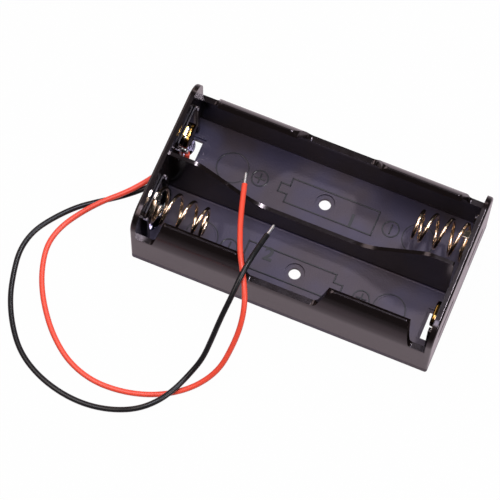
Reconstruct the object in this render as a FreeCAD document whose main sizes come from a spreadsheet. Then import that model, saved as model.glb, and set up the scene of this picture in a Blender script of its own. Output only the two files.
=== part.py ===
import FreeCAD, Part
import Sketcher
import math
import os

# Holder for two cylindrical cells side by side, with coil spring contacts and two bare-ended leads.
# Millimetres. +X runs along the cells, +Y across them, +Z up. The origin is the middle of the underside.

Vector = FreeCAD.Vector
doc = FreeCAD.newDocument("CylindricalCellHolder")
sizes = doc.addObject("Spreadsheet::Sheet", "Sizes")

DRIVING_SIZES = (
    # The cell and the bay it lies in
    ("cell_diameter", "18.4"),
    ("cell_side_clearance", "0.3"),
    ("bay_length", "74"),
    # Walls of the moulded housing
    ("floor_thickness", "1.6"),
    ("side_wall_thickness", "1.5"),
    ("end_wall_thickness", "1.5"),
    ("end_wall_height", "21.8"),
    ("end_corner_round", "5.6"),
    ("end_edge_round", "0.6"),
    ("rim_edge_round", "0.3"),
    # Wings that curl over the cells
    ("curl_start_height", "11.5"),
    ("curl_angle", "47"),
    ("wing_top_height", "19.25"),
    ("wing_inner_end", "11.2"),
    ("wing_end_gap", "5.8"),
    ("wing_corner_round", "2.6"),
    ("wing_outer_round", "0.9"),
    # Low walls between and beside the wings
    ("window_half_length", "8.7"),
    ("window_sill_height", "13.7"),
    ("window_corner_round", "1.6"),
    ("notch_length", "4.2"),
    ("notch_sill_height", "12.4"),
    # Divider between the bays
    ("divider_thickness", "1"),
    ("divider_high_level", "20.3"),
    ("divider_low_level", "9.8"),
    ("divider_crest_length", "7.7"),
    ("divider_slope_length", "14.7"),
    ("divider_crest_round", "6"),
    ("divider_dip_round", "12"),
    ("divider_foot_round", "0.35"),
    ("bridge_gap", "1.1"),
    # Screw holes
    ("screw_hole_diameter", "3"),
    ("screw_seat_diameter", "5"),
    ("screw_seat_depth", "0.5"),
    # Windows in the floor below the button contacts, each in a shallow recess
    ("floor_window_gap", "0.9"),
    ("floor_window_length", "2.15"),
    ("floor_window_width", "7.4"),
    ("floor_recess_length", "3.75"),
    ("floor_recess_width", "8.4"),
    ("floor_recess_depth", "0.4"),
    # Round dimples in the floor
    ("dimple_diameter", "7.8"),
    ("dimple_depth", "0.15"),
    ("dimple_end_gap", "12"),
    # Slots in the outer faces of the end walls
    ("end_slot_length", "10.4"),
    ("end_slot_height", "2.6"),
    ("end_slot_depth", "0.5"),
    ("end_slot_level", "10.5"),
    # Rails that hold the contact plates
    ("rail_width", "1.1"),
    ("rail_reach", "1.1"),
    ("rail_top_height", "15"),
    ("rail_lip_overlap", "0.45"),
    # Contact plates
    ("plate_thickness", "0.4"),
    ("plate_clearance", "0.1"),
    ("plate_half_width", "5.7"),
    ("plate_top_margin", "0.55"),
    ("plate_corner_round", "0.8"),
    ("button_length", "6.4"),
    ("button_height", "4.6"),
    ("button_rise", "1.2"),
    ("button_edge_round", "0.5"),
    ("foot_length", "5.6"),
    ("foot_reach", "1.45"),
    ("foot_offset", "0.7"),
    ("bridge_strip_low", "5.4"),
    ("bridge_strip_high", "9.6"),
    ("lug_width", "1.8"),
    # Coil springs
    ("spring_wire_diameter", "0.9"),
    ("spring_base_radius", "4.5"),
    ("spring_tip_radius", "3.55"),
    ("spring_pitch", "3.9"),
    ("spring_start_angle", "72"),
    ("spring_seat_turns", "0.61"),
    ("spring_active_turns", "3.04"),
    ("spring_tip_turns", "0.92"),
    ("spring_tip_pitch", "0.93"),
    ("spring_seat_gap", "0.04"),
    ("back_spring_phase", "0"),
    ("front_spring_phase", "178"),
    # Leads
    ("lead_diameter", "1.35"),
    ("conductor_diameter", "0.7"),
    ("bare_end_length", "3.5"),
    ("soldered_end_length", "1.6"),
    ("lead_hole_diameter", "2.1"),
    ("lead_hole_offset", "1.75"),
    ("lead_hole_height", "2.5"),
    ("solder_radius", "0.95"),
)

for number, (alias, text) in enumerate(DRIVING_SIZES, start=1):
    sizes.set("A%d" % number, alias)
    sizes.set("B%d" % number, text)
    sizes.setAlias("B%d" % number, alias)
doc.recompute()


def size(expression):
    """Number that an expression on the sheet gives now."""
    return float(sizes.evalExpression(expression))


# Places that follow from the driving sizes
BAY_RADIUS = "(Sizes.cell_diameter + Sizes.cell_side_clearance) / 2"
BAY_CENTRE = "(Sizes.divider_thickness / 2 + " + BAY_RADIUS + ")"
INNER_SIDE = "(" + BAY_CENTRE + " + " + BAY_RADIUS + ")"
HALF_WIDTH = "(" + INNER_SIDE + " + Sizes.side_wall_thickness)"
INNER_END = "(Sizes.bay_length / 2)"
HALF_LENGTH = "(Sizes.bay_length / 2 + Sizes.end_wall_thickness)"
CURL_RADIUS = "(" + BAY_RADIUS + " + Sizes.side_wall_thickness)"
WING_END = "(" + INNER_END + " - Sizes.wing_end_gap)"
NOTCH_END = "(" + INNER_END + " - Sizes.notch_length)"
CREST_END = "(" + INNER_END + " - Sizes.divider_crest_length)"
SLOPE_END = "(" + CREST_END + " - Sizes.divider_slope_length)"
DIMPLE_PLACE = "(" + INNER_END + " - Sizes.dimple_end_gap)"
CELL_LEVEL = "(Sizes.floor_thickness + Sizes.cell_diameter / 2)"
ABOVE_ALL = "(Sizes.end_wall_height + 5)"
PLATE_BACK = "(" + INNER_END + " - Sizes.plate_clearance)"
PLATE_FRONT = "(" + PLATE_BACK + " - Sizes.plate_thickness)"
PLATE_FOOT = "(Sizes.floor_thickness + Sizes.plate_clearance)"
LUG_INNER = "(Sizes.spring_base_radius + Sizes.spring_wire_diameter / 2 + Sizes.plate_clearance)"
LUG_OUTER = "(" + LUG_INNER + " + Sizes.plate_thickness)"
PLATE_TOP = "(" + CELL_LEVEL + " + " + LUG_OUTER + " + Sizes.plate_top_margin)"
SLOT_FRONT = "(" + PLATE_FRONT + " - Sizes.plate_clearance)"
SLOT_SIDE = "(Sizes.plate_half_width + Sizes.plate_clearance)"
RAIL_INNER = "(Sizes.plate_half_width - Sizes.rail_lip_overlap)"
RAIL_OUTER = "(" + RAIL_INNER + " + Sizes.rail_width)"
RAIL_FRONT = "(" + INNER_END + " - Sizes.rail_reach)"
LEAD_NOTCH_TOP = "(Sizes.lead_hole_height + Sizes.lead_hole_diameter)"


def minus(expression):
    """Expression for the mirrored place."""
    return "-" + expression


def new_body(label):
    body = doc.addObject("PartDesign::Body", label)
    body.Label = label
    return body


def origin_plane(body, role):
    """One of the three planes of the body's own origin."""
    return [item for item in body.Origin.OriginFeatures if item.Role == role][0]


def new_sketch(body, name, role, offset=None):
    """Sketch on an origin plane, moved along its normal by an expression."""
    sketch = body.newObject("Sketcher::SketchObject", name)
    sketch.AttachmentSupport = [(origin_plane(body, role), "")]
    sketch.MapMode = "FlatFace"
    if offset:
        sketch.setExpression(".AttachmentOffset.Base.z", offset)
    return sketch


def fix_point(sketch, geometry, end, place):
    """Ties a point of the sketch to a place given by two expressions."""
    for kind, expression in zip(("DistanceX", "DistanceY"), place):
        constraint = Sketcher.Constraint(kind, -1, 1, geometry, end, size(expression))
        index = sketch.addConstraint(constraint)
        sketch.setExpression("Constraints[%d]" % index, expression)


def fix_radius(sketch, geometry, expression):
    constraint = Sketcher.Constraint("Radius", geometry, size(expression))
    index = sketch.addConstraint(constraint)
    sketch.setExpression("Constraints[%d]" % index, expression)


def draw_circle(sketch, across, up, radius):
    centre = Vector(size(across), size(up), 0)
    ring = sketch.addGeometry(Part.Circle(centre, Vector(0, 0, 1), size(radius)), False)
    fix_point(sketch, ring, 3, (across, up))
    fix_radius(sketch, ring, radius)


def nearer_end(sketch, geometry, point):
    """Number of the end, 1 or 2, that lies at a point, and the number of the other."""
    start_gap = (sketch.getPoint(geometry, 1) - point).Length
    finish_gap = (sketch.getPoint(geometry, 2) - point).Length
    return (1, 2) if start_gap < finish_gap else (2, 1)


def draw_outline(sketch, corners):
    """Closed outline of straight runs. A corner is (across, up) or (across, up, rounding radius)."""
    count = len(corners)
    points = [Vector(size(corner[0]), size(corner[1]), 0) for corner in corners]
    starts, ends, arcs = [], [], []
    for index, corner in enumerate(corners):
        here = points[index]
        arriving, leaving, arc = here, here, None
        if len(corner) == 3:
            before = (points[index - 1] - here).normalize()
            after = (points[(index + 1) % count] - here).normalize()
            half_angle = before.getAngle(after) / 2
            radius = size(corner[2])
            arriving = here + before * (radius / math.tan(half_angle))
            leaving = here + after * (radius / math.tan(half_angle))
            inward = (before + after).normalize()
            middle = here + inward * (radius / math.sin(half_angle) - radius)
            arc = Part.ArcOfCircle(arriving, middle, leaving)
        starts.append(leaving)
        ends.append(arriving)
        arcs.append(arc)
    lines = []
    for index in range(count):
        run = Part.LineSegment(starts[index], ends[(index + 1) % count])
        lines.append(sketch.addGeometry(run, False))
    for index, corner in enumerate(corners):
        arriving_line, leaving_line = lines[index - 1], lines[index]
        if arcs[index] is None:
            meeting = Sketcher.Constraint("Coincident", arriving_line, 2, leaving_line, 1)
            sketch.addConstraint(meeting)
            fix_point(sketch, leaving_line, 1, corner[:2])
            continue
        arc = sketch.addGeometry(arcs[index], False)
        first, second = nearer_end(sketch, arc, ends[index])
        apex = sketch.addGeometry(Part.Point(points[index]), True)
        sketch.addConstraint(Sketcher.Constraint("Tangent", arriving_line, 2, arc, first))
        sketch.addConstraint(Sketcher.Constraint("Tangent", leaving_line, 1, arc, second))
        sketch.addConstraint(Sketcher.Constraint("PointOnObject", apex, 1, arriving_line))
        sketch.addConstraint(Sketcher.Constraint("PointOnObject", apex, 1, leaving_line))
        fix_point(sketch, apex, 1, corner[:2])
        fix_radius(sketch, arc, corner[2])


def draw_bowed_outline(sketch, corners):
    """Closed outline of (across, up, bow): the run after a corner is an arc of radius bow, or straight."""
    count = len(corners)
    points = [Vector(size(corner[0]), size(corner[1]), 0) for corner in corners]
    runs = []
    for index, corner in enumerate(corners):
        here, there = points[index], points[(index + 1) % count]
        if corner[2] is None:
            runs.append(sketch.addGeometry(Part.LineSegment(here, there), False))
            continue
        radius, turn = size(corner[2][0]), corner[2][1]
        chord = there - here
        sagitta = radius - math.sqrt(radius ** 2 - chord.Length ** 2 / 4)
        outward = Vector(chord.y, -chord.x, 0).normalize() * turn
        middle = (here + there) * 0.5 + outward * sagitta
        runs.append(sketch.addGeometry(Part.ArcOfCircle(here, middle, there), False))
    for index, corner in enumerate(corners):
        run, following = runs[index], runs[(index + 1) % count]
        first, second = nearer_end(sketch, run, points[index])
        meeting_point = points[(index + 1) % count]
        next_first = nearer_end(sketch, following, meeting_point)[0]
        sketch.addConstraint(Sketcher.Constraint("Coincident", run, second, following, next_first))
        fix_point(sketch, run, first, corner[:2])
        if corner[2] is not None:
            fix_radius(sketch, run, corner[2][0])


def rectangle(low_across, low_up, high_across, high_up, rounding=None):
    """Corners of a rectangle, all rounded alike or all sharp."""
    corners = (
        (low_across, low_up),
        (high_across, low_up),
        (high_across, high_up),
        (low_across, high_up),
    )
    if rounding is None:
        return corners
    return tuple(corner + (rounding,) for corner in corners)


def new_pad(body, name, sketch, length, symmetric=False, reverse=False):
    pad = body.newObject("PartDesign::Pad", name)
    pad.Profile = sketch
    pad.SideType = "Symmetric" if symmetric else "One side"
    pad.Reversed = reverse
    pad.setExpression("Length", length)
    return pad


def new_pocket(body, name, sketch, length=None, reverse=False):
    """Pocket of a given depth, or right through both ways. It has to take material away."""
    doc.recompute()
    before = body.Shape.Volume
    pocket = body.newObject("PartDesign::Pocket", name)
    pocket.Profile = sketch
    pocket.Reversed = reverse
    if length is None:
        pocket.SideType = "Symmetric"
        pocket.Type = "ThroughAll"
    else:
        pocket.setExpression("Length", length)
    doc.recompute()
    if before - pocket.Shape.Volume < 0.01:
        raise ValueError(name + " takes nothing away")
    return pocket


def new_fillet(body, name, base, radius, wanted):
    """Rounds the edges of a feature that the test picks."""
    doc.recompute()
    names = []
    for number, edge in enumerate(base.Shape.Edges, start=1):
        if wanted(edge):
            names.append("Edge%d" % number)
    if not names:
        raise ValueError(name + " finds no edge")
    fillet = body.newObject("PartDesign::Fillet", name)
    fillet.Base = (base, names)
    fillet.setExpression("Radius", radius)
    doc.recompute()
    return fillet


# Housing: one moulding with a floor, two side walls, two end walls and a divider


def draw_channel_section(sketch):
    """Floor and side walls as one section, with walls that curl in over the cells."""
    def wall_point(radius, side):
        across = "(" + BAY_CENTRE + " + " + radius + " * cos(Sizes.curl_angle))"
        up = "(Sizes.curl_start_height + " + radius + " * sin(Sizes.curl_angle))"
        return (across if side > 0 else minus(across), up)

    curl_start = "Sizes.curl_start_height"
    floor_top = "Sizes.floor_thickness"
    outer_tip = wall_point(CURL_RADIUS, 1)
    inner_tip = wall_point(BAY_RADIUS, 1)
    far_outer_tip = wall_point(CURL_RADIUS, -1)
    far_inner_tip = wall_point(BAY_RADIUS, -1)
    outer_bow = (CURL_RADIUS, 1)
    inner_bow = (BAY_RADIUS, -1)
    draw_bowed_outline(sketch, (
        (minus(HALF_WIDTH), "0", None),
        (HALF_WIDTH, "0", None),
        (HALF_WIDTH, curl_start, outer_bow),
        (outer_tip[0], outer_tip[1], None),
        (inner_tip[0], inner_tip[1], inner_bow),
        (INNER_SIDE, curl_start, None),
        (INNER_SIDE, floor_top, None),
        (minus(INNER_SIDE), floor_top, None),
        (minus(INNER_SIDE), curl_start, inner_bow),
        (far_inner_tip[0], far_inner_tip[1], None),
        (far_outer_tip[0], far_outer_tip[1], outer_bow),
        (minus(HALF_WIDTH), curl_start, None),
    ))


def draw_wall_silhouette(sketch):
    """Everything above the side walls: end notches, wings and the low window in the middle."""
    top = "Sizes.wing_top_height"
    sill = "Sizes.window_sill_height"
    notch = "Sizes.notch_sill_height"
    outer_round = "Sizes.wing_outer_round"
    right_half = [
        ("Sizes.window_half_length", sill, "Sizes.window_corner_round"),
        ("Sizes.wing_inner_end", top, "Sizes.wing_corner_round"),
        (WING_END, top, outer_round),
        (NOTCH_END, notch, outer_round),
        (INNER_END, notch),
        (INNER_END, ABOVE_ALL),
    ]
    left_half = [(minus(corner[0]),) + corner[1:] for corner in reversed(right_half)]
    draw_outline(sketch, right_half + left_half)


def draw_divider(sketch):
    """Divider seen from the side: high at the ends and low in the middle."""
    high = "Sizes.divider_high_level"
    low = "Sizes.divider_low_level"
    crest = "Sizes.divider_crest_round"
    dip = "Sizes.divider_dip_round"
    free_end = "(" + INNER_END + " - Sizes.bridge_gap)"
    draw_outline(sketch, (
        (minus(INNER_END), "0"),
        (free_end, "0"),
        (free_end, high, "Sizes.rim_edge_round"),
        (CREST_END, high, crest),
        (SLOPE_END, low, dip),
        (minus(SLOPE_END), low, dip),
        (minus(CREST_END), high, crest),
        (minus(INNER_END), high),
    ))


def add_end_walls(body):
    section = new_sketch(body, "EndWallSection", "YZ_Plane", INNER_END)
    draw_outline(section, (
        (minus(HALF_WIDTH), "0"),
        (HALF_WIDTH, "0"),
        (HALF_WIDTH, "Sizes.end_wall_height", "Sizes.end_corner_round"),
        (minus(HALF_WIDTH), "Sizes.end_wall_height", "Sizes.end_corner_round"),
    ))
    wall = new_pad(body, "EndWall", section, "Sizes.end_wall_thickness")
    both = body.newObject("PartDesign::Mirrored", "BothEndWalls")
    both.Originals = [wall]
    both.MirrorPlane = (origin_plane(body, "YZ_Plane"), [""])
    body.Tip = both
    return both


def add_rails(body):
    """Ribs on the end walls, each with a lip that a contact plate slides behind."""
    floor_level = "(Sizes.floor_thickness / 2)"
    # end of the holder, bay, side of the bay away from the divider or towards it
    rails = ((1, 1, 1), (1, -1, 1), (-1, 1, 1), (-1, -1, 1), (-1, 1, -1), (-1, -1, -1))
    for number, (end, bay, away) in enumerate(rails, start=1):
        def place(across):
            shift = " + " if away > 0 else " - "
            expression = "(" + BAY_CENTRE + shift + across + ")"
            return expression if bay > 0 else minus(expression)

        def along(expression):
            return expression if end > 0 else minus(expression)

        foot = floor_level if away > 0 else LEAD_NOTCH_TOP
        section = new_sketch(body, "RailSection%d" % number, "XY_Plane", foot)
        root = "(" + INNER_END + " + Sizes.end_wall_thickness / 2)"
        draw_outline(section, (
            (along(root), place(SLOT_SIDE)),
            (along(SLOT_FRONT), place(SLOT_SIDE)),
            (along(SLOT_FRONT), place(RAIL_INNER)),
            (along(RAIL_FRONT), place(RAIL_INNER)),
            (along(RAIL_FRONT), place(RAIL_OUTER)),
            (along(root), place(RAIL_OUTER)),
        ))
        new_pad(body, "Rail%d" % number, section, "Sizes.rail_top_height - " + foot)


def cut_floor(body):
    """Screw holes and their seats, dimples, and the windows below the button contacts."""
    floor_top = "Sizes.floor_thickness"
    seats = new_sketch(body, "ScrewSeatRings", "XY_Plane", floor_top)
    holes = new_sketch(body, "ScrewHoleRings", "XY_Plane")
    dimples = new_sketch(body, "DimpleRings", "XY_Plane", floor_top)
    recesses = new_sketch(body, "WindowRecesses", "XY_Plane", floor_top)
    windows = new_sketch(body, "FloorWindows", "XY_Plane")
    for bay in (BAY_CENTRE, minus(BAY_CENTRE)):
        draw_circle(seats, "0", bay, "Sizes.screw_seat_diameter / 2")
        draw_circle(holes, "0", bay, "Sizes.screw_hole_diameter / 2")
        for along in (DIMPLE_PLACE, minus(DIMPLE_PLACE)):
            draw_circle(dimples, along, bay, "Sizes.dimple_diameter / 2")
    window_end = "(" + INNER_END + " - Sizes.floor_window_gap)"
    start = "(" + window_end + " - Sizes.floor_window_length)"
    window_low = "(" + BAY_CENTRE + " - Sizes.floor_window_width / 2)"
    window_high = "(" + BAY_CENTRE + " + Sizes.floor_window_width / 2)"
    recess_low = "(" + BAY_CENTRE + " - Sizes.floor_recess_width / 2)"
    recess_high = "(" + BAY_CENTRE + " + Sizes.floor_recess_width / 2)"
    recess_start = "(" + INNER_END + " - Sizes.floor_recess_length)"
    draw_outline(recesses, rectangle(recess_start, minus(recess_high), INNER_END, minus(recess_low)))
    draw_outline(recesses, rectangle(minus(INNER_END), recess_low, minus(recess_start), recess_high))
    draw_outline(windows, rectangle(start, minus(window_high), window_end, minus(window_low)))
    draw_outline(windows, rectangle(minus(window_end), window_low, minus(start), window_high))
    new_pocket(body, "ScrewSeats", seats, "Sizes.screw_seat_depth")
    new_pocket(body, "ScrewHoles", holes)
    new_pocket(body, "Dimples", dimples, "Sizes.dimple_depth")
    new_pocket(body, "WindowRecess", recesses, "Sizes.floor_recess_depth")
    new_pocket(body, "Windows", windows)


def cut_end_walls(body):
    """Slots in both outer faces, and the two holes that the leads pass through."""
    half = "Sizes.end_slot_length / 2"
    low = "(Sizes.end_slot_level - Sizes.end_slot_height / 2)"
    high = "(Sizes.end_slot_level + Sizes.end_slot_height / 2)"
    rounding = "(Sizes.end_slot_height * 0.45)"
    for name, face in (("Far", HALF_LENGTH), ("Near", minus(HALF_LENGTH))):
        slots = new_sketch(body, name + "EndSlotOutlines", "YZ_Plane", face)
        for bay in (BAY_CENTRE, minus(BAY_CENTRE)):
            left, right = "(" + bay + " - " + half + ")", "(" + bay + " + " + half + ")"
            draw_outline(slots, rectangle(left, low, right, high, rounding))
        new_pocket(body, name + "EndSlots", slots, "Sizes.end_slot_depth", name == "Near")
    lead_holes = new_sketch(body, "LeadHoleRings", "YZ_Plane", minus(HALF_LENGTH))
    for across in ("Sizes.lead_hole_offset", "-Sizes.lead_hole_offset"):
        draw_circle(lead_holes, across, "Sizes.lead_hole_height", "Sizes.lead_hole_diameter / 2")
    new_pocket(body, "LeadHoles", lead_holes, "Sizes.end_wall_thickness * 1.2", True)


def on_outer_end(edge):
    """True for the rim of an end wall's outer face, without the edge that it stands on."""
    box = edge.BoundBox
    face = size(HALF_LENGTH)
    lies_in_face = min(abs(box.XMin - face), abs(box.XMax + face)) < 1e-4 and box.XLength < 1e-4
    return lies_in_face and box.ZMax > 1e-3


def on_divider_foot(edge):
    """True for the long edges where the divider's faces meet the floor."""
    box = edge.BoundBox
    beside = abs(max(abs(box.YMin), abs(box.YMax)) - size("Sizes.divider_thickness / 2")) < 1e-4
    on_floor = abs(box.ZMax - size("Sizes.floor_thickness")) < 1e-4 and box.ZLength < 1e-4
    return beside and on_floor and box.YLength < 1e-4 and box.XLength > size("Sizes.bay_length / 2")


def build_housing():
    body = new_body("housing")
    channel = new_sketch(body, "ChannelSection", "YZ_Plane")
    draw_channel_section(channel)
    new_pad(body, "Channel", channel, "Sizes.bay_length", symmetric=True)
    silhouette = new_sketch(body, "WallSilhouette", "XZ_Plane")
    draw_wall_silhouette(silhouette)
    new_pocket(body, "WallWindows", silhouette)
    end_walls = add_end_walls(body)
    new_fillet(body, "EndWallRims", end_walls, "Sizes.end_edge_round", on_outer_end)
    divider = new_sketch(body, "DividerOutline", "XZ_Plane")
    draw_divider(divider)
    divider_pad = new_pad(body, "Divider", divider, "Sizes.divider_thickness", symmetric=True)
    new_fillet(body, "DividerFoot", divider_pad, "Sizes.divider_foot_round", on_divider_foot)
    add_rails(body)
    cut_floor(body)
    cut_end_walls(body)
    return body


# Contact plates: stamped and folded sheet


def end_side(end, expression):
    """The place at the far end for end = 1, and at the near end for end = -1."""
    return expression if end > 0 else minus(expression)


def bay_side(bay, expression):
    """The place in the back bay for bay = 1, and in the front bay for bay = -1."""
    return expression if bay > 0 else minus(expression)


def add_button(body, end, bay):
    """Raised button, pressed out of the plate, so that its back is hollow."""
    low = "(" + CELL_LEVEL + " - Sizes.button_height / 2)"
    high = "(" + CELL_LEVEL + " + Sizes.button_height / 2)"
    left = "(" + bay_side(bay, BAY_CENTRE) + " - Sizes.button_length / 2)"
    right = "(" + bay_side(bay, BAY_CENTRE) + " + Sizes.button_length / 2)"
    rounding = "(Sizes.button_height * 0.45)"
    face = new_sketch(body, "ButtonOutline", "YZ_Plane", end_side(end, PLATE_FRONT))
    draw_outline(face, rectangle(left, low, right, high, rounding))
    rise = new_pad(body, "Button", face, "Sizes.button_rise", reverse=end > 0)
    top_place = end * (size(PLATE_FRONT) - size("Sizes.button_rise"))

    def on_button_top(edge):
        box = edge.BoundBox
        return box.XLength < 1e-4 and abs(box.XMin - top_place) < 1e-4

    new_fillet(body, "ButtonRim", rise, "Sizes.button_edge_round", on_button_top)
    wall = "Sizes.plate_thickness"
    hollow = new_sketch(body, "ButtonHollowOutline", "YZ_Plane", end_side(end, PLATE_BACK))
    hollow_corners = (
        "(" + left + " + " + wall + ")",
        "(" + low + " + " + wall + ")",
        "(" + right + " - " + wall + ")",
        "(" + high + " - " + wall + ")",
    )
    inner_rounding = "(" + rounding + " - " + wall + ")"
    draw_outline(hollow, rectangle(*hollow_corners, rounding=inner_rounding))
    new_pocket(body, "ButtonHollow", hollow, "Sizes.button_rise", reverse=end < 0)


def add_foot(body, end, bay):
    """Tongue with a bowed front, folded in over the floor."""
    centre = "(" + bay_side(bay, "(" + BAY_CENTRE + " + Sizes.foot_offset)") + ")"
    left = "(" + centre + " - Sizes.foot_length / 2)"
    right = "(" + centre + " + Sizes.foot_length / 2)"
    bow = "((Sizes.foot_length ^ 2 / 4 + Sizes.foot_reach ^ 2) / (2 * Sizes.foot_reach))"
    outline = new_sketch(body, "FootOutline", "XY_Plane", PLATE_FOOT)
    draw_bowed_outline(outline, (
        (end_side(end, PLATE_BACK), left, None),
        (end_side(end, PLATE_FRONT), left, (bow, -end)),
        (end_side(end, PLATE_FRONT), right, None),
        (end_side(end, PLATE_BACK), right, None),
    ))
    new_pad(body, "Foot", outline, "Sizes.plate_thickness")


def add_spring_lugs(body, end, bay):
    """Two lugs, above and below, folded over the wire of the spring's first turn."""
    wire = "Sizes.spring_wire_diameter"
    gap = "Sizes.plate_clearance"
    thickness = "Sizes.plate_thickness"
    lip = "(Sizes.spring_base_radius - " + wire + " * 0.4)"
    under_lip = "(" + PLATE_FRONT + " - " + wire + " - Sizes.spring_seat_gap - " + gap + ")"
    lip_face = "(" + under_lip + " - " + thickness + ")"
    start = "(" + bay_side(bay, BAY_CENTRE) + ")"
    offset = "-(" + start + ")"
    for name, sign in (("Upper", " + "), ("Lower", " - ")):
        def level(expression):
            return "(" + CELL_LEVEL + sign + expression + ")"

        section = new_sketch(body, name + "LugSection", "XZ_Plane", offset)
        draw_outline(section, (
            (end_side(end, PLATE_BACK), level(LUG_INNER)),
            (end_side(end, under_lip), level(LUG_INNER)),
            (end_side(end, under_lip), level(lip)),
            (end_side(end, lip_face), level(lip)),
            (end_side(end, lip_face), level(LUG_OUTER)),
            (end_side(end, PLATE_BACK), level(LUG_OUTER)),
        ))
        new_pad(body, name + "Lug", section, "Sizes.lug_width", symmetric=True)


def draw_single_plate(sketch, bay):
    half = "Sizes.plate_half_width"
    centre = bay_side(bay, BAY_CENTRE)
    left, right = "(" + centre + " - " + half + ")", "(" + centre + " + " + half + ")"
    rounding = "Sizes.plate_corner_round"
    draw_outline(sketch, rectangle(left, PLATE_FOOT, right, PLATE_TOP, rounding))


def draw_bridge_plate(sketch):
    """Two contact plates joined by a strip that passes the end of the divider."""
    outer = "(" + BAY_CENTRE + " + Sizes.plate_half_width)"
    inner = "(" + BAY_CENTRE + " - Sizes.plate_half_width)"
    low, high = "Sizes.bridge_strip_low", "Sizes.bridge_strip_high"
    rounding = "Sizes.plate_corner_round"
    draw_outline(sketch, (
        (minus(outer), PLATE_FOOT, rounding),
        (minus(inner), PLATE_FOOT, rounding),
        (minus(inner), low, rounding),
        (inner, low, rounding),
        (inner, PLATE_FOOT, rounding),
        (outer, PLATE_FOOT, rounding),
        (outer, PLATE_TOP, rounding),
        (inner, PLATE_TOP, rounding),
        (inner, high, rounding),
        (minus(inner), high, rounding),
        (minus(inner), PLATE_TOP, rounding),
        (minus(outer), PLATE_TOP, rounding),
    ))


def build_contact(label, end, button_bay=None, spring_bay=None):
    """Plate at one end of the holder, with a button in one bay, a spring seat in the other, or both."""
    body = new_body(label)
    outline = new_sketch(body, "PlateOutline", "YZ_Plane", end_side(end, PLATE_BACK))
    if button_bay and spring_bay:
        draw_bridge_plate(outline)
    else:
        draw_single_plate(outline, button_bay or spring_bay)
    new_pad(body, "Plate", outline, "Sizes.plate_thickness", reverse=end > 0)
    if spring_bay:
        add_spring_lugs(body, end, spring_bay)
        add_foot(body, end, spring_bay)
    if button_bay:
        add_button(body, end, button_bay)
        if not spring_bay:
            add_foot(body, end, button_bay)


# Coil springs: a flat turn on the plate, open turns, and a closed turn at the tip


def spring_centreline():
    """Points of the wire's centreline from the base, its axis along -X, in the spring's own frame."""
    points_per_turn = 20
    start_angle = math.radians(size("Sizes.spring_start_angle"))
    seat = size("Sizes.spring_seat_turns")
    active = size("Sizes.spring_active_turns")
    closed = size("Sizes.spring_tip_turns")
    closed_pitch = size("Sizes.spring_tip_pitch")
    pitch = size("Sizes.spring_pitch")
    base_radius = size("Sizes.spring_base_radius")
    tip_radius = size("Sizes.spring_tip_radius")
    turns = seat + active + closed
    count = int(round(turns * points_per_turn))
    points = []
    for step in range(count + 1):
        turn = turns * step / count
        opened = min(max(turn - seat, 0), active)
        shut = max(turn - seat - active, 0)
        along = pitch * opened + closed_pitch * shut
        radius = base_radius + (tip_radius - base_radius) * opened / active
        angle = start_angle + 2 * math.pi * turn
        points.append(Vector(-along, radius * math.cos(angle), radius * math.sin(angle)))
    return points


def build_spring(label, end, bay, phase):
    """Wire swept along the coil, set against its contact plate."""
    wire_radius = size("Sizes.spring_wire_diameter") / 2
    curve = Part.BSplineCurve()
    curve.interpolate(spring_centreline())
    spine = Part.Wire([curve.toShape()])
    start = curve.value(curve.FirstParameter)
    direction = curve.tangent(curve.FirstParameter)[0]
    profile = Part.Wire([Part.Circle(start, direction, wire_radius).toShape()])
    coil = spine.makePipeShell([profile], True, True)
    coil.rotate(Vector(0, 0, 0), Vector(1, 0, 0), phase)
    if end < 0:
        coil.rotate(Vector(0, 0, 0), Vector(0, 0, 1), 180)
    feature = doc.addObject("Part::Feature", label)
    feature.Label = label
    feature.Shape = coil
    seat = size(PLATE_FRONT) - size("Sizes.spring_seat_gap") - wire_radius
    feature.Placement.Base = Vector(end * seat, bay * size(BAY_CENTRE), size(CELL_LEVEL))


# Leads: insulated tubes with bare tinned ends, laid along the routes that they rest in

# From the joint on the contact plate, out through the end wall, round the bench and back over the bays
RED_ROUTE = (
    (-35.7, 7.5, 5.4),
    (-35.6, 7.4, 2.4),
    (-35.6, 1.75, 2.5),
    (-40.2, 1.7, 2.5),
    (-42.6, -2.8, 3.1),
    (-45.9, -7.2, 3.2),
    (-50.2, -11.3, 2.9),
    (-54.2, -15.8, 1.6),
    (-57.3, -20.7, 0.7),
    (-58.4, -25.9, 0.7),
    (-57.4, -31.1, 0.7),
    (-55.4, -36.2, 0.7),
    (-52.2, -41.4, 0.7),
    (-47.6, -46.9, 0.7),
    (-41.5, -51.6, 0.7),
    (-34.5, -53.9, 0.7),
    (-27.5, -53.8, 0.7),
    (-20.9, -52.2, 0.7),
    (-15.0, -49.3, 1.0),
    (-10.1, -45.6, 2.8),
    (-6.6, -41.3, 6.4),
    (-5.4, -36.6, 10.9),
    (-5.0, -32.1, 15.2),
    (-5.9, -27.5, 18.8),
    (-8.3, -22.7, 20.6),
    (-11.3, -17.7, 20.9),
    (-13.7, -12.0, 19.9),
    (-15.9, -5.8, 18.4),
    (-17.8, 0.8, 17.0),
)

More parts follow.
